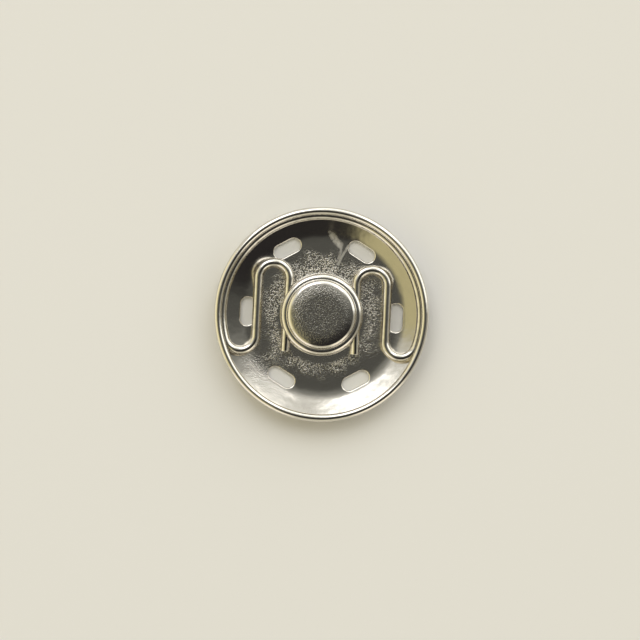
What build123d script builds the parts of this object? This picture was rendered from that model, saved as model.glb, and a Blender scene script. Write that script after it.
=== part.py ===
"""Socket half of a large sew-on snap fastener, seen from its hollow sewing side.

Two pieces: a shell pressed from one sheet, and a spring bent from one round wire.
The shell lies on its mating face, which is the plane z = 0, with its hollow side up.
The origin is the centre of the mating face. Lengths are millimetres, angles degrees.
"""

import os
from math import cos, radians, tan

from build123d import *

# The sheet and the wire
sheet = 0.30
wire_r = 0.45
wire_play = 0.03

# The shell in plan, as radii on its hollow side apart from the rim
rim_r = 10.5
floor_r = 7.75
drum_r = 4.0
shoulder_step = 0.6

# The shell's slope, rises and bends, measured on its hollow side
slope_deg = 14.0
dome_deg = 9.0
crease_share = 0.25
dome_share = 0.66
dome_bend_share = 0.47
wall_round = 0.35
fold_r = 0.08
lip_drop = 0.05
root_round = 0.10
drum_round = 0.46
neck_round = 0.05
cap_round = 0.50
cap_rise = 0.80

# The six oval sewing slots
slot_count = 6
slot_ring_r = 7.3
slot_length = 2.75
slot_width = 1.3
slot_round = 0.14

# The side windows in the boss, round the spring's legs
window_play = 0.04
window_cover = 0.04

# The spring in plan: it leaves the rim below the middle line on both sides
leave_deg = 16.5
left_rise = 5.68
right_rise = 5.39
leg_bite = 0.27
leg_splay_deg = 1.1
leg_end_y = -3.77
end_round = 0.06

# The bend from floor to slope takes up its share of the way out to the rim's wall
slope = radians(slope_deg)
wall_r = rim_r - sheet
crease_round = crease_share * (wall_r - floor_r) / tan(slope / 2)

# Where the wire lies in the rim: it touches slope, wall and lip but for its play
ring_r = wall_r - wire_r - wire_play
wire_z = sheet + (ring_r - floor_r) * tan(slope) + (wire_r + wire_play) / cos(slope)
lip_z = wire_z + wire_r + wire_play
fold_z = lip_z + lip_drop
fold_ring_r = wall_r - fold_r

# Heights of the windows and the boss, from the wire's height
window_height = 2 * (wire_r + window_play)
shoulder_z = wire_z + window_height / 2 + window_cover + sheet
cap_z = shoulder_z + cap_rise

# The cap is flat in the middle and falls off to its edge, with a slow bend between
cap_r = drum_r - shoulder_step
dome = radians(dome_deg)
dome_r = dome_share * cap_r
dome_round = dome_bend_share * (cap_r - dome_r) / tan(dome / 2)

# The legs stand in from the cap's inner wall, and the bends fill the way from there to the rim
leg_x = cap_r - sheet + wire_r - leg_bite
leave = radians(leave_deg)
splay = radians(leg_splay_deg)
bend_r = (ring_r * cos(leave) - leg_x) / (2 + cos(leave) + cos(splay))

# The inner edge of a window, and how far it reaches out past the drum
window_x = leg_x - wire_r - window_play
window_depth = drum_r + root_round - window_x

os.makedirs("parts", exist_ok=True)


def sheet_line(depth):
    """Draw the section's line at a depth below the hollow side, from the axis to the fold."""
    cap_edge_r = cap_r - depth
    cap_edge_z = cap_z - (cap_edge_r - dome_r) * tan(dome) - depth / cos(dome)
    foot_r = floor_r + depth * tan(slope / 2)
    outer_r = wall_r + depth
    outer_z = sheet + (outer_r - floor_r) * tan(slope) - depth / cos(slope)
    points = (
        (0, cap_z - depth),
        (dome_r - depth * tan(dome / 2), cap_z - depth),
        (cap_edge_r, cap_edge_z),
        (cap_edge_r, shoulder_z - depth),
        (drum_r - depth, shoulder_z - depth),
        (drum_r - depth, sheet - depth),
        (foot_r, sheet - depth),
        (outer_r, outer_z),
        (outer_r, fold_z),
    )
    rounds = (
        dome_round - depth,
        cap_round - depth,
        neck_round + depth,
        drum_round - depth,
        root_round + depth,
        crease_round + depth,
        wall_round + depth,
    )
    return FilletPolyline(*points, radius=rounds)


# Shell: one sheet from the boss's cap to the folded lip, turned about the axis
with BuildPart() as socket_shell:
    with BuildSketch(Plane.YZ):
        with BuildLine():
            hollow_side = sheet_line(0)
            mating_side = sheet_line(sheet)
            Line(hollow_side @ 0, mating_side @ 0)
            inner_fold = CenterArc((fold_ring_r, fold_z), fold_r, 0, 180)
            outer_fold = CenterArc((fold_ring_r, fold_z), fold_r + sheet, 0, 180)
            lip_inner = Line(inner_fold @ 1, inner_fold @ 1 - (0, fold_z - lip_z))
            lip_outer = Line(outer_fold @ 1, outer_fold @ 1 - (0, fold_z - lip_z))
            Line(lip_inner @ 1, lip_outer @ 1)
        make_face()
    revolve(axis=Axis.Z)

    # Sewing slots: pierced through the floor, with rounded upper edges
    with BuildSketch(Plane.XY):
        with PolarLocations(slot_ring_r, slot_count):
            SlotOverall(slot_length, slot_width, rotation=90)
    extrude(amount=wire_z, mode=Mode.SUBTRACT)
    slot_rims = socket_shell.edges(Select.LAST).filter_by(
        lambda edge: edge.bounding_box().min.Z > sheet / 2
    )
    fillet(slot_rims, radius=slot_round)

    # Windows: the drum's wall is open beside each leg, so that the leg can spread
    with Locations((0, 0, wire_z)):
        with Locations((window_x, 0, 0), (-window_x - window_depth, 0, 0)):
            Box(
                window_depth,
                2 * drum_r,
                window_height,
                align=(Align.MIN, Align.CENTER, Align.CENTER),
                mode=Mode.SUBTRACT,
            )

# Spring: one round wire, half round the rim, with two bends and a leg on each side
with BuildPart() as spring:
    with BuildLine(Plane.XY.offset(wire_z)) as wire_path:
        ring = CenterArc((0, 0), ring_r, -leave_deg, 180 + 2 * leave_deg)
        for start, tangent, turn, rise in (
            (ring @ 0, -(ring % 0), -1, right_rise),
            (ring @ 1, ring % 1, 1, left_rise),
        ):
            lower_bend = JernArc(start, tangent, bend_r, turn * (180 - leave_deg))
            riser = Line(lower_bend @ 1, lower_bend @ 1 + (0, rise, 0))
            upper_bend = JernArc(riser @ 1, riser % 1, bend_r, -turn * (180 + leg_splay_deg))
            leg_run = ((upper_bend @ 1).Y - leg_end_y) / cos(splay)
            Line(upper_bend @ 1, upper_bend @ 1 + (upper_bend % 1) * leg_run)
    wire = wire_path.wires()[0]
    with BuildSketch(Plane(origin=wire @ 0, z_dir=wire % 0)):
        Circle(wire_r)
    sweep(path=wire)
    fillet(spring.faces().filter_by(GeomType.PLANE).edges(), radius=end_round)

for piece, node in ((socket_shell, "socket_shell"), (spring, "spring")):
    piece.part.label = node
    export_step(piece.part, f"parts/{node}.step")
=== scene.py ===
"""Models the socket half of a round sew-on snap, a pressed shell and a bent spring, in a studio.

Both pieces are bent in edit mode the way the workshop bends them. A section is pushed along its
straights by extrude and round its bends by spin. Lengths are metres and angles radians.
"""

from math import atan2, ceil, cos, hypot, pi, radians, sin, sqrt, tan
from types import SimpleNamespace

import bmesh
import bpy
from mathutils import Matrix, Vector


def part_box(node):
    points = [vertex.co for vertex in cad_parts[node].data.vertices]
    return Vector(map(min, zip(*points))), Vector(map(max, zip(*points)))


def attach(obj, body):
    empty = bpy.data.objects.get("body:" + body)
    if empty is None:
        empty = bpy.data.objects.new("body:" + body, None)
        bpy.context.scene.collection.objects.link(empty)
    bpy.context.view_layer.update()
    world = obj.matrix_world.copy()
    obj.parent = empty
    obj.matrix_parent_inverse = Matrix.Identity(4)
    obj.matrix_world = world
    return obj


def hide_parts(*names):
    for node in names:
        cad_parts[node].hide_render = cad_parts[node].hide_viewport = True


bl_info = {
    "name": "Snap Fastener Socket",
    "version": (1, 0, 0),
    "blender": (4, 5, 0),
    "location": "3D View > Sidebar > Snap",
    "description": "Models and plates the socket half of a round sew-on snap",
    "category": "Object",
}

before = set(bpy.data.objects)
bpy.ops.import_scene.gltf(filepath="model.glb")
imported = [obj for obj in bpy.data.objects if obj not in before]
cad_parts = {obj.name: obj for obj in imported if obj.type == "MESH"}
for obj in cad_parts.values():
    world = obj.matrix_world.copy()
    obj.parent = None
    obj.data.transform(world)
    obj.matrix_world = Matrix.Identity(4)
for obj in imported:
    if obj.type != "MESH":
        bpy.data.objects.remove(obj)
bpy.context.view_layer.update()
_, SHELL_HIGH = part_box("socket_shell")
SPRING_LOW, SPRING_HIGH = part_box("spring")

MM = 0.001
UP = Vector((0, 0, 1))
WELD = 0.0001 * MM
SHARP = radians(40)

# How finely the two pieces are divided
SECTOR_COLUMNS = 48
CELL = 0.15 * MM
BEND_STEP = radians(9)
CREASE_STEPS = 4
SLOT_ROOM_CUTS = 4
SLOT_EDGE_STEPS = 5
BURR_STEPS = 2
WIRE_SIDES = 40
WIRE_STEP = radians(5)
RING_STEP = radians(1.5)
WIRE_END_STEPS = 3

# The photograph's frame, and the snap's place and turn in it
IMAGE_SIDE = 640
PIXELS_PER_MM = 10.18
SNAP_PIXEL = (321.5, 314.5)
SNAP_TURN = radians(2.7)

# The walls of the room: azimuth, half width, and top edge as an angle from the zenith
WALLS = (
    ("glow", 90, 75, 8),
    ("pale_wall", 102, 64, 21),
    ("warm_wall", 208, 42, 20),
    ("shade", 297, 50, 8),
    ("gold_wall", 178, 32, 42),
    ("dim_wall", 335, 34, 46),
    ("bright_wall", 53, 45, 40),
    ("tan_wall", 275, 28, 46),
    ("sunny_wall", 235, 20, 48),
    ("sunny_wall", 308, 15, 46),
)

# The windows in the pale wall: azimuth, angle from the zenith, width and height a metre away,
# and part of the window light
WINDOWS = (
    ("left_window", 117, 47, 0.48, 0.80, 1.0),
    ("right_window", 60, 48, 0.26, 0.80, 0.6),
)

# The scuffs above the boss: part of the scuff width, strength, and a line of points, in mm
SCUFFS = (
    (1.0, 1.0, ((0.70, 7.80), (1.05, 7.35), (1.50, 6.90))),
    (0.6, 0.7, ((0.45, 8.10), (1.00, 7.40), (1.60, 6.60))),
    (0.8, 0.2, ((0.62, 9.20), (0.50, 8.00))),
    (0.4, 0.8, ((2.31, 6.85), (1.73, 5.76), (1.40, 5.00))),
    (0.4, 0.7, ((1.65, 6.40), (1.41, 5.54))),
)

# The middles of the grain's patch on the slope and of its inner edge round the drum, in mm
SLOPE_PATCH = (-6.0, -6.6)
INNER_EDGE = (0, -0.5)

# Noise levels: at which a patch leaves the grain's outer edge in place, and between which the
# grain, its pits, the scuffs' mottle and the wire's wear fade in
EVEN_PATCH = 0.35
GRAIN_LEVELS = (0.45, 0.70)
PIT_LEVELS = (0.42, 0.60)
MOTTLE_LEVELS = (0.30, 0.60)
WEAR_LEVELS = (0.40, 0.70)

# Sockets of the Mix node for colours, which share their names with others
MIX_AMOUNT, MIX_A, MIX_B, MIX_RESULT = 0, 6, 7, 2


def length(name, description, default):
    """Give a length property in metres."""
    return bpy.props.FloatProperty(
        name=name, description=description, default=default, unit="LENGTH", precision=5
    )


def angle(name, description, degrees):
    """Give an angle property."""
    return bpy.props.FloatProperty(
        name=name, description=description, default=radians(degrees), unit="ROTATION"
    )


def share(name, description, default, top=1.0):
    """Give a plain number property."""
    return bpy.props.FloatProperty(
        name=name, description=description, default=default, min=0.0, max=top
    )


def tint(name, description, default):
    """Give a colour property."""
    return bpy.props.FloatVectorProperty(
        name=name, description=description, default=default, subtype="COLOR", size=3, min=0
    )


class SnapShellSizes(bpy.types.PropertyGroup):
    """Sizes of the pressed shell, measured on its hollow side apart from the rim."""

    rim_r: length("Rim radius", "Outside radius of the rim", max(SHELL_HIGH.x, SHELL_HIGH.y))
    sheet: length("Sheet", "Thickness of the sheet", 0.30 * MM)
    floor_r: length("Floor radius", "Where the flat floor turns up into the slope", 7.75 * MM)
    drum_r: length("Drum radius", "Outside radius of the boss's drum", 4.0 * MM)
    shoulder_step: length("Shoulder step", "How far the cap stands in from the drum", 0.6 * MM)
    slope: angle("Slope", "Slope of the skirt above the floor", 14)
    dome: angle("Dome", "How far the cap falls off at its edge", 9)
    dome_share: share("Dome share", "Where the cap falls off, as a part of its radius", 0.66)
    dome_bend_share: share("Dome bend", "Part of the fall that its bend fills", 0.47)
    crease_share: share("Crease share", "Part of the slope that its lower bend fills", 0.25)
    wall_round: length("Wall round", "Bend radius from slope to rim wall", 0.35 * MM)
    fold_r: length("Fold radius", "Inside radius of the rim's fold", 0.08 * MM)
    lip_drop: length("Lip drop", "Straight height of the folded lip", 0.05 * MM)
    root_round: length("Root round", "Bend radius from drum to floor", 0.10 * MM)
    drum_round: length("Drum round", "Bend radius of the drum's shoulder", 0.46 * MM)
    neck_round: length("Neck round", "Bend radius from shoulder to cap", 0.05 * MM)
    cap_round: length("Cap round", "Bend radius of the cap's edge", 0.50 * MM)
    cap_rise: length("Cap rise", "Height of the cap above the shoulder", 0.80 * MM)
    slot_count: bpy.props.IntProperty(
        name="Slots", description="Number of sewing slots", default=6, min=1
    )
    slot_ring_r: length("Slot ring", "Radius of the ring of sewing slots", 7.3 * MM)
    slot_length: length("Slot length", "Length of a sewing slot", 2.75 * MM)
    slot_width: length("Slot width", "Width of a sewing slot", 1.3 * MM)
    slot_round: length("Slot round", "Radius of a slot's upper edge", 0.14 * MM)
    slot_margin: length("Slot margin", "Width of the even band of faces round a slot", 0.17 * MM)
    slot_room: length("Slot room", "Width of the loose band round the even one", 0.32 * MM)
    window_play: length("Window play", "Gap between a leg and its window", 0.04 * MM)
    window_cover: length("Window cover", "Metal left above a window", 0.04 * MM)
    burr_round: length("Burr round", "Radius of a window's edges", 0.03 * MM)


class SnapSpringSizes(bpy.types.PropertyGroup):
    """Sizes of the bent spring."""

    wire_r: length("Wire radius", "Radius of the wire", (SPRING_HIGH.z - SPRING_LOW.z) / 2)
    wire_play: length("Wire play", "Gap between the wire and the rim", 0.03 * MM)
    leave: angle("Leave", "How far below the middle line the wire leaves the rim", 16.5)
    left_rise: length("Left rise", "Straight length of the left riser", 5.68 * MM)
    right_rise: length("Right rise", "Straight length of the right riser", 5.39 * MM)
    leg_bite: length("Leg bite", "How far a leg stands in from the cap's wall", 0.27 * MM)
    splay: angle("Splay", "How far a leg leans out", 1.1)
    leg_end_y: length("Leg end", "Where the legs end", -3.77 * MM)
    end_round: length("End round", "Radius of the cut ends' edges", 0.06 * MM)


class SnapFinish(bpy.types.PropertyGroup):
    """Colours and textures of the plating."""

    nickel: tint("Nickel", "Colour of the plating", (0.72, 0.69, 0.63))
    dull_nickel: tint("Dull nickel", "Colour of the plating in its pits", (0.22, 0.21, 0.18))
    polish: share("Polish", "Roughness of the slope and the rim", 0.14)
    satin: share("Satin", "Roughness of the grained floor", 0.20)
    wire_polish: share("Wire polish", "Roughness of the wire", 0.12)
    wire_satin: share("Wire satin", "Roughness of the wire where it is worn", 0.17)
    wire_wear: share("Wire wear", "How dull the wire is where it is worn", 0.25)
    grain_size: length("Grain size", "Size of the pressed grain", 0.12 * MM)
    grain_depth: length("Grain depth", "Depth of the pressed grain", 0.022 * MM)
    patch_size: length("Patch size", "Size of the patches at the grain's outer edge", 1.3 * MM)
    patch_reach: length("Patch reach", "How far the patches move the grain's edge", 3.25 * MM)
    slope_patch: length("Slope patch", "Radius of the grain's patch on the slope", 3.9 * MM)
    slope_grain: share("Slope grain", "Strength of the grain on the slope", 0.4)
    cap_grain: share("Cap grain", "Strength of the grain on the cap", 0.3)
    ripple_size: length("Ripple size", "Size of the slow ripple in the sheet", 1.8 * MM)
    ripple_depth: length("Ripple depth", "Depth of the slow ripple in the sheet", 0.02 * MM)
    scuff_width: length("Scuff width", "Half width of the widest scuff", 0.50 * MM)
    scuff_core: share("Scuff core", "Part of a scuff's width that has its full strength", 0.2)
    scuff_mottle: share("Scuff mottle", "How much the mottle takes off the scuffs", 0.5)
    scuff_satin: share("Scuff satin", "Roughness of the scuffs", 0.50)


class SnapStage(bpy.types.PropertyGroup):
    """The floor, the lamps, the room and the camera."""

    floor_tint: tint("Floor", "Colour of the floor", (0.80, 0.79, 0.77))
    floor_side: length("Floor side", "Side of the floor", 3.0)
    window_light: share("Window light", "Brightness of the brighter window", 2.0, 100.0)
    overhead: tint("Overhead", "Colour of the ceiling", (0.09, 0.09, 0.082))
    glow: tint("Glow", "Colour of the ceiling near the windows", (0.24, 0.24, 0.22))
    shade: tint("Shade", "Colour of the dark side of the ceiling", (0.024, 0.022, 0.022))
    pale_wall: tint("Pale wall", "Colour round the windows", (0.78, 0.77, 0.72))
    warm_wall: tint("Warm wall", "Colour of the left wall", (0.60, 0.54, 0.30))
    bright_wall: tint("Bright wall", "Colour of the right wall", (1.7, 1.7, 1.6))
    gold_wall: tint("Gold wall", "Colour of the left wall lower down", (1.15, 1.05, 0.70))
    dim_wall: tint("Dim wall", "Colour of the lower right corner", (0.40, 0.38, 0.32))
    tan_wall: tint("Tan wall", "Colour of the near wall", (0.70, 0.66, 0.52))
    sunny_wall: tint("Sunny wall", "Colour of the near wall's bright ends", (1.3, 1.2, 1.0))
    soft_edge: angle("Soft edge", "Half width of the walls' soft edges", 6)
    camera_height: length("Camera height", "Distance from the camera to the snap", 0.30)


def settings_of(context):
    """Give the four groups of settings."""
    scene = context.scene
    return scene.snap_shell, scene.snap_spring, scene.snap_finish, scene.snap_stage


def work_out(shell, spring):
    """Work out the places that follow from the sizes."""
    wall_r = shell.rim_r - shell.sheet
    ring_r = wall_r - spring.wire_r - spring.wire_play
    seat = spring.wire_r + spring.wire_play
    wire_z = shell.sheet + (ring_r - shell.floor_r) * tan(shell.slope) + seat / cos(shell.slope)
    window_half = spring.wire_r + shell.window_play
    shoulder_z = wire_z + window_half + shell.window_cover + shell.sheet
    cap_r = shell.drum_r - shell.shoulder_step
    dome_r = shell.dome_share * cap_r
    leg_x = cap_r - shell.sheet + spring.wire_r - spring.leg_bite
    span = ring_r * cos(spring.leave) - leg_x
    bend_r = span / (2 + cos(spring.leave) + cos(spring.splay))
    return SimpleNamespace(
        wall_r=wall_r,
        crease_round=shell.crease_share * (wall_r - shell.floor_r) / tan(shell.slope / 2),
        ring_r=ring_r,
        wire_z=wire_z,
        fold_z=wire_z + seat + shell.lip_drop,
        window_low=wire_z - window_half,
        window_high=wire_z + window_half,
        window_x=leg_x - spring.wire_r - shell.window_play,
        shoulder_z=shoulder_z,
        cap_z=shoulder_z + shell.cap_rise,
        cap_r=cap_r,
        dome_r=dome_r,
        dome_round=shell.dome_bend_share * (cap_r - dome_r) / tan(shell.dome / 2),
        leg_x=leg_x,
        bend_r=bend_r,
    )


class Bender:
    """Carries the selected section on: along a straight by extrude, round a bend by spin."""

    def __init__(self, place, heading, turn_axis):
        self.place = Vector(place)
        self.heading = Vector(heading)
        self.turn_axis = Vector(turn_axis)

    def run(self, distance, steps=1):
        """Go straight on."""
        for _ in range(steps):
            move = self.heading * (distance / steps)
            bpy.ops.mesh.extrude_region_move(TRANSFORM_OT_translate={"value": move})
        self.place = self.place + self.heading * distance

    def bend(self, radius, turn, steps):
        """Go round a bend, by the right-hand rule about the turn axis."""
        side = self.turn_axis.cross(self.heading)
        centre = self.place + side * (radius if turn > 0 else -radius)
        bpy.ops.mesh.spin(steps=steps, angle=-turn, center=centre, axis=self.turn_axis)
        rotation = Matrix.Rotation(turn, 3, self.turn_axis)
        self.place = centre + rotation @ (self.place - centre)
        self.heading = rotation @ self.heading

    def follow(self, corners, rounds):
        """Go along straights through the corners, each rounded to its bend radius."""
        for corner, after, radius in zip(corners, corners[1:], rounds):
            aim = (after - corner).normalized()
            turn = atan2(self.turn_axis.dot(self.heading.cross(aim)), self.heading.dot(aim))
            reach = (corner - self.place).length - radius * tan(abs(turn) / 2)
            self.run(reach, ceil(reach / CELL))
            self.bend(radius, turn, max(CREASE_STEPS, ceil(abs(turn) / BEND_STEP)))
        reach = (corners[-1] - self.place).length
        self.run(reach, ceil(reach / CELL))


def choose(kind, test):
    """Select just the edited mesh's vertices, edges or faces that pass a test, and count them."""
    modes = {"verts": "VERT", "edges": "EDGE", "faces": "FACE"}
    bpy.ops.mesh.select_mode(type=modes[kind])
    bpy.ops.mesh.select_all(action="DESELECT")
    mesh = bpy.context.object.data
    built = bmesh.from_edit_mesh(mesh)
    built.normal_update()
    chosen = [part for part in getattr(built, kind) if test(part)]
    for part in chosen:
        part.select = True
    built.select_flush_mode()
    bmesh.update_edit_mesh(mesh)
    return len(chosen)


def middle(part):
    """Give the middle of an edge's or a face's corners."""
    return sum((corner.co for corner in part.verts), Vector()) / len(part.verts)


def plan_r(point):
    """Give a point's distance from the snap's axis."""
    return hypot(point.x, point.y)


def start_section(name, sides, radius, place, heading):
    """Start a piece in edit mode with a round section, square to its heading."""
    bpy.ops.object.select_all(action="DESELECT")
    bpy.ops.mesh.primitive_circle_add(vertices=sides, radius=radius, fill_type="NOTHING")
    piece = bpy.context.object
    piece.name = name
    piece.data.name = name
    square = Vector(heading).to_track_quat("Z", "Y").to_matrix().to_4x4()
    piece.data.transform(Matrix.Translation(place) @ square)
    bpy.ops.object.mode_set(mode="EDIT")
    bpy.ops.mesh.select_mode(type="VERT")
    bpy.ops.mesh.select_all(action="SELECT")
    return piece


def finish_piece(piece, node, material):
    """Shade a piece, plate it and let it stand for its solid."""
    bpy.ops.mesh.select_mode(type="VERT")
    bpy.ops.mesh.select_all(action="DESELECT")
    bpy.ops.object.mode_set(mode="OBJECT")
    bpy.ops.object.shade_smooth_by_angle(angle=SHARP)
    piece.data.materials.clear()
    piece.data.materials.append(material)
    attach(piece, "root")
    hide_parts(node)


def bend_profile(shell, plan, out):
    """Bend the middle line of the sheet from the axis to the lip, in the plane of out and up."""
    half = shell.sheet / 2
    foot_r = shell.floor_r + half * tan(shell.slope / 2)
    outer_r = plan.wall_r + half
    outer_z = shell.sheet + (outer_r - shell.floor_r) * tan(shell.slope) - half / cos(shell.slope)
    cap_edge_r = plan.cap_r - half
    fall = (cap_edge_r - plan.dome_r) * tan(shell.dome) + half / cos(shell.dome)
    line = (
        (plan.dome_r - half * tan(shell.dome / 2), plan.cap_z - half),
        (cap_edge_r, plan.cap_z - fall),
        (cap_edge_r, plan.shoulder_z - half),
        (shell.drum_r - half, plan.shoulder_z - half),
        (shell.drum_r - half, half),
        (foot_r, half),
        (outer_r, outer_z),
        (outer_r, plan.fold_z),
    )
    rounds = (
        plan.dome_round - half,
        shell.cap_round - half,
        shell.neck_round + half,
        shell.drum_round - half,
        shell.root_round + half,
        plan.crease_round + half,
        shell.wall_round + half,
    )
    corners = [out * r + UP * z for r, z in line]
    profile = Bender(UP * (plan.cap_z - half), out, UP.cross(out))
    profile.follow(corners, rounds)
    profile.bend(shell.fold_r + half, -pi, ceil(pi / BEND_STEP))
    profile.run(shell.lip_drop)


def sheet_height(shell, plan, r):
    """Give the height of the sheet's middle at a radius on the floor, the crease or the slope."""
    half = shell.sheet / 2
    bend_r = plan.crease_round + half
    reach = bend_r * tan(shell.slope / 2)
    foot_r = shell.floor_r + half * tan(shell.slope / 2)
    if r <= foot_r - reach:
        return half
    if r < foot_r + reach * cos(shell.slope):
        return half + bend_r - sqrt(bend_r**2 - (r - foot_r + reach) ** 2)
    return half + (r - foot_r) * tan(shell.slope)


def pierce_slot(shell, plan):
    """Pierce a slot in the sector's middle, with even bands of faces round it."""
    half_width = shell.slot_width / 2
    half_core = shell.slot_length / 2 - half_width
    margin_r = half_width + shell.slot_margin
    half_depth = margin_r + shell.slot_room
    half_turn = (half_core + half_depth) / shell.slot_ring_r
    centre = Vector((shell.slot_ring_r, 0, 0))

    def in_block(place, slack=0.0):
        turned = abs(atan2(place.y, place.x)) * shell.slot_ring_r
        deep = abs(plan_r(place) - shell.slot_ring_r)
        return turned < half_turn * shell.slot_ring_r + slack and deep < half_depth + slack

    def core_gap(place):
        along = max(-half_core, min(half_core, place.y))
        return hypot(place.x - shell.slot_ring_r, place.y - along)

    choose("faces", lambda face: in_block(middle(face)))
    bpy.ops.mesh.delete(type="FACE")
    hole_edges = choose("edges", lambda edge: edge.is_boundary and in_block(middle(edge), CELL))

    # The ends get an odd number of edges, so that no corner lies on the slot's middle line
    end_share = pi * margin_r / (2 * pi * margin_r + 4 * half_core)
    end_edges = 2 * int(hole_edges * end_share / 2) + 1
    cuts = hole_edges // 2 - end_edges
    bpy.ops.mesh.select_all(action="DESELECT")
    bpy.ops.mesh.primitive_circle_add(
        vertices=2 * end_edges, radius=margin_r, fill_type="NOTHING", location=centre
    )
    bpy.ops.mesh.extrude_region_move()
    shrink = half_width / margin_r
    bpy.ops.transform.resize(value=(shrink, shrink, 1), center_override=centre)

    def in_rings(corner):
        return (corner.co - centre).length < margin_r + WELD

    for side in (1, -1):
        choose("verts", lambda corner: in_rings(corner) and corner.co.y * side > 0)
        bpy.ops.transform.translate(value=(0, side * half_core, 0))

    def along_side(edge):
        first, last = edge.verts
        near = max(core_gap(first.co), core_gap(last.co)) < margin_r + WELD
        return near and first.co.y * last.co.y < 0

    choose("edges", along_side)
    bpy.ops.mesh.subdivide(number_cuts=cuts)

    def open_band(edge):
        clear = core_gap(middle(edge)) > half_width + shell.slot_margin / 2
        return edge.is_boundary and clear and in_block(middle(edge), CELL)

    choose("edges", open_band)
    bpy.ops.mesh.bridge_edge_loops(
        number_cuts=SLOT_ROOM_CUTS, interpolation="LINEAR", smoothness=0
    )

    # The new faces were made flat, so every corner in the block is laid on the sheet
    mesh = bpy.context.object.data
    built = bmesh.from_edit_mesh(mesh)
    for corner in built.verts:
        if in_block(corner.co, CELL):
            corner.co.z = sheet_height(shell, plan, plan_r(corner.co))
    bmesh.update_edit_mesh(mesh)


def open_windows(shell, plan):
    """Open the drum's wall on both sides, beside the spring's legs."""
    root_z = shell.sheet + shell.root_round

    def in_drum(face):
        place = middle(face)
        near = shell.drum_r - shell.sheet - CELL < plan_r(place) < shell.drum_r + WELD
        return near and root_z < place.z < plan.shoulder_z - shell.sheet / 2

    for level in (plan.window_low, plan.window_high):
        choose("faces", in_drum)
        bpy.ops.mesh.bisect(plane_co=(0, 0, level), plane_no=(0, 0, 1), threshold=WELD)
    for edge_x in (-plan.window_x, plan.window_x):
        choose("faces", in_drum)
        bpy.ops.mesh.bisect(plane_co=(edge_x, 0, 0), plane_no=(1, 0, 0), threshold=WELD)

    def in_window(face):
        place = middle(face)
        inside = plan.window_low < place.z < plan.window_high
        return in_drum(face) and inside and abs(place.x) > plan.window_x

    choose("faces", in_window)
    bpy.ops.mesh.delete(type="FACE")


def thicken(piece, sheet):
    """Give the bent sheet its thickness, half on each side."""
    bpy.ops.object.mode_set(mode="OBJECT")
    wall = piece.modifiers.new("sheet", "SOLIDIFY")
    wall.thickness = sheet
    wall.offset = 0
    wall.use_even_offset = True
    wall.use_quality_normals = True
    bpy.ops.object.modifier_apply(modifier=wall.name)
    bpy.ops.object.mode_set(mode="EDIT")


def is_sharp(edge):
    """Tell whether two faces meet at an edge as at a cut."""
    return len(edge.link_faces) == 2 and edge.calc_face_angle() > SHARP


def round_cuts(shell, plan):
    """Round the upper edges of the slots, and break the edges of the windows."""
    bevel = {"affect": "EDGES", "clamp_overlap": False}

    def slot_edge(edge):
        place = middle(edge)
        near = abs(plan_r(place) - shell.slot_ring_r) < shell.slot_width
        return near and is_sharp(edge) and place.z > shell.sheet / 2

    choose("edges", slot_edge)
    bpy.ops.mesh.bevel(offset=shell.slot_round, segments=SLOT_EDGE_STEPS, **bevel)

    def window_edge(edge):
        place = middle(edge)
        near = plan_r(place) < shell.drum_r + WELD
        return near and is_sharp(edge) and place.z < plan.shoulder_z - shell.sheet / 2

    choose("edges", window_edge)
    bpy.ops.mesh.bevel(offset=shell.burr_round, segments=BURR_STEPS, **bevel)


class SNAP_OT_shell(bpy.types.Operator):
    """Press the shell: bend its profile, turn it, pierce the slots and open the windows"""

    bl_idname = "snap.shell"
    bl_label = "Press Shell"
    bl_options = {"REGISTER", "UNDO"}

    def execute(self, context):
        shell, spring, finish, _ = settings_of(context)
        plan = work_out(shell, spring)
        sector = 2 * pi / shell.slot_count
        out = Vector((cos(sector / 2), -sin(sector / 2), 0))
        top = UP * (plan.cap_z - shell.sheet / 2)

        # The profile is a line, so its section is a triangle that is merged to a point
        piece = start_section("pressed_shell", 3, shell.sheet, top, UP)
        bpy.ops.mesh.merge(type="CENTER")
        bend_profile(shell, plan, out)
        bpy.ops.mesh.select_all(action="SELECT")
        bpy.ops.mesh.spin(steps=SECTOR_COLUMNS, angle=-sector, center=(0, 0, 0), axis=UP)
        pierce_slot(shell, plan)
        bpy.ops.mesh.select_all(action="SELECT")
        others = shell.slot_count - 1
        bpy.ops.mesh.spin(
            steps=others, dupli=True, angle=-sector * others, center=(0, 0, 0), axis=UP
        )
        bpy.ops.mesh.select_all(action="SELECT")
        bpy.ops.mesh.remove_doubles(threshold=WELD)
        open_windows(shell, plan)
        bpy.ops.mesh.select_all(action="SELECT")
        bpy.ops.mesh.normals_make_consistent(inside=False)
        thicken(piece, shell.sheet)
        round_cuts(shell, plan)
        finish_piece(piece, "socket_shell", plated_sheet(shell, plan, finish))
        return {"FINISHED"}


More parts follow.
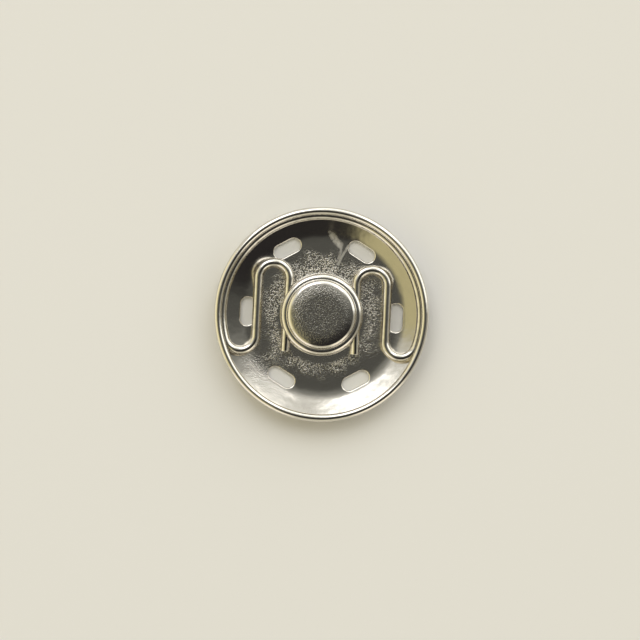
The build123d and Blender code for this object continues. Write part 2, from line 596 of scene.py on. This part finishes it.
class SNAP_OT_spring(bpy.types.Operator):
    """Bend the spring: leg, upper bend, riser, lower bend, half round the rim, and back"""

    bl_idname = "snap.spring"
    bl_label = "Bend Spring"
    bl_options = {"REGISTER", "UNDO"}

    def execute(self, context):
        shell, spring, finish, _ = settings_of(context)
        plan = work_out(shell, spring)
        low_y = -(plan.ring_r - plan.bend_r) * sin(spring.leave)
        drop = plan.bend_r * sin(spring.splay)

        def leg_length(rise):
            return (low_y + rise - drop - spring.leg_end_y) / cos(spring.splay)

        left_leg = leg_length(spring.left_rise)
        left_x = -plan.leg_x - left_leg * sin(spring.splay)
        start = Vector((left_x, spring.leg_end_y, plan.wire_z))
        heading = Vector((sin(spring.splay), cos(spring.splay), 0))
        piece = start_section("bent_spring", WIRE_SIDES, spring.wire_r, start, heading)
        upper = pi + spring.splay
        lower = pi - spring.leave
        wire = Bender(start, heading, UP)
        wire.run(left_leg)
        wire.bend(plan.bend_r, upper, ceil(upper / WIRE_STEP))
        wire.run(spring.left_rise)
        wire.bend(plan.bend_r, -lower, ceil(lower / WIRE_STEP))
        half_round = pi + 2 * spring.leave
        wire.bend(plan.ring_r, -half_round, ceil(half_round / RING_STEP))
        wire.bend(plan.bend_r, -lower, ceil(lower / WIRE_STEP))
        wire.run(spring.right_rise)
        wire.bend(plan.bend_r, upper, ceil(upper / WIRE_STEP))
        wire.run(leg_length(spring.right_rise))
        bpy.ops.mesh.select_all(action="SELECT")
        bpy.ops.mesh.fill_holes(sides=WIRE_SIDES)
        bpy.ops.mesh.select_all(action="SELECT")
        bpy.ops.mesh.normals_make_consistent(inside=False)
        choose("edges", is_sharp)
        bpy.ops.mesh.bevel(offset=spring.end_round, segments=WIRE_END_STEPS, affect="EDGES")
        finish_piece(piece, "spring", plated_wire(finish))
        return {"FINISHED"}


class Recipe:
    """The nodes of one material or world."""

    def __init__(self, tree):
        self.tree = tree
        tree.nodes.clear()

    def node(self, kind, settings=None, inputs=None, output=0):
        """Add a node with its settings and inputs, and give one of its outputs."""
        made = self.tree.nodes.new(kind)
        for name, value in (settings or {}).items():
            setattr(made, name, value)
        for socket, value in (inputs or {}).items():
            if isinstance(value, Reading):
                self.tree.links.new(value.socket, made.inputs[socket])
            else:
                made.inputs[socket].default_value = value
        return Reading(self, made.outputs[output]) if made.outputs else made

    def mix(self, amount, first, second):
        """Mix two colours."""
        inputs = {MIX_AMOUNT: amount, MIX_A: first, MIX_B: second}
        return self.node("ShaderNodeMix", {"data_type": "RGBA"}, inputs, MIX_RESULT)

    def math(self, operation, *terms):
        """Add a Math node on these terms."""
        return self.node("ShaderNodeMath", {"operation": operation}, dict(enumerate(terms)))

    def vector(self, operation, *terms, output=0):
        """Add a Vector Math node on these terms."""
        inputs = dict(enumerate(terms))
        return self.node("ShaderNodeVectorMath", {"operation": operation}, inputs, output)

    def noise(self, place, size, detail=2.0):
        """Give a noise with features of a size."""
        inputs = {"Vector": place, "Scale": 1 / size, "Detail": detail, "Roughness": 0.6}
        return self.node("ShaderNodeTexNoise", None, inputs)

    def bump(self, height):
        """Give the normal of a surface raised by a height."""
        return self.node("ShaderNodeBump", None, {"Distance": 1.0, "Height": height})

    def fade(self, value, start, end):
        """Go smoothly from 0 at the start to 1 at the end."""
        if start > end:
            return 1 - self.fade(value, end, start)
        settings = {"interpolation_type": "SMOOTHSTEP"}
        inputs = {"Value": value, "From Min": start, "From Max": end}
        return self.node("ShaderNodeMapRange", settings, inputs)


class Reading:
    """One output of a recipe, on which sums and products add their Math nodes."""

    def __init__(self, recipe, socket):
        self.recipe = recipe
        self.socket = socket

    def __add__(self, other):
        return self.recipe.math("ADD", self, other)

    __radd__ = __add__

    def __sub__(self, other):
        return self.recipe.math("SUBTRACT", self, other)

    def __rsub__(self, other):
        return self.recipe.math("SUBTRACT", other, self)

    def __mul__(self, other):
        return self.recipe.math("MULTIPLY", self, other)

    __rmul__ = __mul__


def new_recipe(name):
    """Make a material and give it with its empty recipe."""
    material = bpy.data.materials.new(name)
    material.use_nodes = True
    return material, Recipe(material.node_tree)


def gap_to_line(recipe, place, points):
    """Give the distance from a place to a line through points."""
    gaps = []
    for first, last in zip(points, points[1:]):
        first = Vector((*first, 0)) * MM
        step = Vector((*last, 0)) * MM - first
        off = recipe.vector("SUBTRACT", place, first)
        along = recipe.vector("DOT_PRODUCT", off, step / step.length_squared, output="Value")
        along = recipe.math("MINIMUM", recipe.math("MAXIMUM", along, 0.0), 1.0)
        reach = recipe.vector("MULTIPLY_ADD", along, -step, off)
        gaps.append(recipe.vector("LENGTH", reach, output="Value"))
    nearest = gaps[0]
    for gap in gaps[1:]:
        nearest = recipe.math("MINIMUM", nearest, gap)
    return nearest


def grained_part(recipe, place, flat, shell, plan, finish):
    """Give the strength of the grain: the floor's ring, a patch on the slope, and the cap."""
    r = recipe.vector("LENGTH", flat, output="Value")
    patches = recipe.noise(place, finish.patch_size, detail=1.0)
    ragged_r = r + (patches - EVEN_PATCH) * finish.patch_reach
    on_floor = recipe.fade(ragged_r, shell.floor_r, shell.drum_r)

    # The ring's inner edge lies a little towards the legs' ends, and never climbs the drum
    inner_gap = recipe.vector("DISTANCE", flat, Vector((*INNER_EDGE, 0)) * MM, output="Value")
    on_floor *= recipe.fade(inner_gap, shell.drum_r, shell.drum_r + shell.shoulder_step)
    on_floor *= recipe.fade(r, shell.drum_r, shell.drum_r + shell.root_round)

    # The patch ends before the rim
    slope_gap = recipe.vector("DISTANCE", flat, Vector((*SLOPE_PATCH, 0)) * MM, output="Value")
    on_slope = recipe.fade(slope_gap, finish.slope_patch, finish.slope_patch / 3)
    on_slope *= recipe.fade(r, plan.ring_r, plan.ring_r - shell.slot_width)
    on_cap = recipe.fade(r, plan.cap_r - shell.cap_round / 2, plan.cap_r - 2 * shell.cap_round)
    return on_floor + on_slope * finish.slope_grain + on_cap * finish.cap_grain


def scuffed_part(recipe, place, flat, finish):
    """Give the strength of the scuffs: soft streaks along their lines, finely mottled."""
    scuffed = 0.0
    for part, strength, line in SCUFFS:
        half_width = finish.scuff_width * part
        core = half_width * finish.scuff_core
        streak = recipe.fade(gap_to_line(recipe, flat, line), half_width, core) * strength
        scuffed = recipe.math("MAXIMUM", scuffed, streak)
    mottle = recipe.noise(place, finish.scuff_width / 2, detail=4.0)
    kept = recipe.fade(mottle, *MOTTLE_LEVELS) * finish.scuff_mottle + (1 - finish.scuff_mottle)
    return scuffed * kept


def lay_plating(recipe, finish, dulled, roughness, height):
    """Lay nickel on a surface: partly dulled, as rough as this and raised by a height."""
    shader = recipe.node(
        "ShaderNodeBsdfPrincipled",
        None,
        {
            "Base Color": recipe.mix(dulled, (*finish.nickel, 1), (*finish.dull_nickel, 1)),
            "Metallic": 1.0,
            "Roughness": roughness,
            "Normal": recipe.bump(height),
        },
    )
    recipe.node("ShaderNodeOutputMaterial", None, {"Surface": shader})


def plated_sheet(shell, plan, finish):
    """Plate the pressed sheet: bright nickel with grain in places, a slow ripple and scuffs."""
    material, recipe = new_recipe("plated_sheet")
    place = recipe.node("ShaderNodeTexCoord", output="Object")
    flat = recipe.vector("MULTIPLY", place, (1, 1, 0))
    grained = grained_part(recipe, place, flat, shell, plan, finish)
    scuffed = scuffed_part(recipe, place, flat, finish)
    grain = recipe.fade(recipe.noise(place, finish.grain_size, detail=1.0), *GRAIN_LEVELS)
    pits = recipe.fade(recipe.noise(place, finish.grain_size / 2), *PIT_LEVELS)
    ripple = recipe.noise(place, finish.ripple_size)
    roughness = finish.polish + (finish.satin - finish.polish) * grained
    roughness += (finish.scuff_satin - finish.polish) * scuffed
    height = grain * grained * finish.grain_depth + ripple * finish.ripple_depth
    lay_plating(recipe, finish, pits * grained, roughness, height)
    return material


def plated_wire(finish):
    """Plate the drawn wire: bright nickel, a little worn, with a finer and shallower ripple."""
    material, recipe = new_recipe("plated_wire")
    place = recipe.node("ShaderNodeTexCoord", output="Object")
    ripple = recipe.noise(place, finish.ripple_size / 2)
    worn = recipe.fade(ripple, *WEAR_LEVELS)
    roughness = finish.wire_polish + (finish.wire_satin - finish.wire_polish) * worn
    height = ripple * (finish.ripple_depth / 3)
    lay_plating(recipe, finish, worn * finish.wire_wear, roughness, height)
    return material


def matte_floor(stage):
    """Paint the floor plain and pale."""
    material, recipe = new_recipe("matte_floor")
    shader = recipe.node(
        "ShaderNodeBsdfPrincipled",
        None,
        {"Base Color": (*stage.floor_tint, 1), "Roughness": 0.9, "Specular IOR Level": 0.1},
    )
    recipe.node("ShaderNodeOutputMaterial", None, {"Surface": shader})
    return material


def room_light(stage):
    """Light the snap from the walls of a room with a dark ceiling, soft where they meet."""
    world = bpy.data.worlds.new("room")
    bpy.context.scene.world = world
    world.use_nodes = True
    recipe = Recipe(world.node_tree)
    aim = recipe.node("ShaderNodeTexCoord", output="Generated")
    level = recipe.vector("NORMALIZE", recipe.vector("MULTIPLY", aim, (1, 1, 0)))
    height = recipe.vector("DOT_PRODUCT", aim, UP, output="Value")
    edge = stage.soft_edge
    room = (*stage.overhead, 1)
    for wall, azimuth, half_width, top in WALLS:
        azimuth, half_width, top = radians(azimuth), radians(half_width), radians(top)
        facing = (cos(azimuth), sin(azimuth), 0)
        across = recipe.vector("DOT_PRODUCT", level, facing, output="Value")
        on_wall = recipe.fade(across, cos(half_width + edge), cos(half_width - edge))
        on_wall *= recipe.fade(height, cos(top - edge), cos(top + edge))
        room = recipe.mix(on_wall, room, (*getattr(stage, wall), 1))
    light = recipe.node("ShaderNodeBackground", None, {"Color": room})
    recipe.node("ShaderNodeOutputWorld", None, {"Surface": light})


def hang_window(name, azimuth, off_zenith, width, height, brightness):
    """Hang a soft rectangular lamp a metre from the snap, facing it and unseen by the camera."""
    level = Vector((cos(azimuth), sin(azimuth), 0)) * sin(off_zenith)
    aim = level + UP * cos(off_zenith)
    facing = aim.to_track_quat("Z", "Y").to_euler()
    bpy.ops.object.light_add(type="AREA", location=aim, rotation=facing)
    lamp = bpy.context.object
    lamp.name = name
    lamp.data.shape = "RECTANGLE"
    lamp.data.size = width
    lamp.data.size_y = height
    lamp.data.energy = pi * width * height * brightness
    lamp.visible_camera = False


class SNAP_OT_stage(bpy.types.Operator):
    """Set the floor, the lamps, the room's light and the camera"""

    bl_idname = "snap.stage"
    bl_label = "Set Stage"
    bl_options = {"REGISTER", "UNDO"}

    def execute(self, context):
        stage = settings_of(context)[-1]
        bpy.ops.object.select_all(action="DESELECT")
        bpy.ops.mesh.primitive_plane_add(size=stage.floor_side)
        floor = context.object
        floor.name = "floor"
        floor.data.materials.append(matte_floor(stage))
        room_light(stage)
        for name, azimuth, off_zenith, width, height, part in WINDOWS:
            aim = radians(azimuth), radians(off_zenith)
            hang_window(name, *aim, width, height, stage.window_light * part)

        # The camera looks straight down, shifted and turned as the photograph was framed
        pixel = MM / PIXELS_PER_MM
        across, down = (IMAGE_SIDE / 2 - at for at in SNAP_PIXEL)
        shift = Matrix.Rotation(SNAP_TURN, 3, "Z") @ Vector((across, -down, 0)) * pixel
        place = shift + UP * stage.camera_height
        bpy.ops.object.camera_add(location=place, rotation=(0, 0, SNAP_TURN))
        camera = context.object
        camera.data.clip_start = stage.camera_height / 100
        camera.data.lens = camera.data.sensor_width * stage.camera_height / (IMAGE_SIDE * pixel)
        context.scene.camera = camera
        context.scene.view_settings.view_transform = "Standard"
        return {"FINISHED"}


class SNAP_PT_panel(bpy.types.Panel):
    """Lists the sizes, the finish and the steps"""

    bl_idname = "SNAP_PT_panel"
    bl_label = "Snap Fastener Socket"
    bl_space_type = "VIEW_3D"
    bl_region_type = "UI"
    bl_category = "Snap"

    def draw(self, context):
        for group in settings_of(context):
            box = self.layout.box()
            for name in group.__annotations__:
                box.prop(group, name)
        for step in STEPS:
            self.layout.operator(step.bl_idname)


STEPS = (SNAP_OT_shell, SNAP_OT_spring, SNAP_OT_stage)
GROUPS = {
    "snap_shell": SnapShellSizes,
    "snap_spring": SnapSpringSizes,
    "snap_finish": SnapFinish,
    "snap_stage": SnapStage,
}


def register():
    """Register the settings, the steps and the panel."""
    for name, group in GROUPS.items():
        bpy.utils.register_class(group)
        setattr(bpy.types.Scene, name, bpy.props.PointerProperty(type=group))
    for kind in (*STEPS, SNAP_PT_panel):
        bpy.utils.register_class(kind)


def unregister():
    """Take the panel, the steps and the settings out again."""
    for kind in (SNAP_PT_panel, *reversed(STEPS)):
        bpy.utils.unregister_class(kind)
    for name, group in reversed(GROUPS.items()):
        delattr(bpy.types.Scene, name)
        bpy.utils.unregister_class(group)


def main():
    """Make the pieces and the stage."""
    register()
    bpy.ops.snap.stage()
    bpy.ops.snap.shell()
    bpy.ops.snap.spring()


if __name__ == "__main__":
    main()
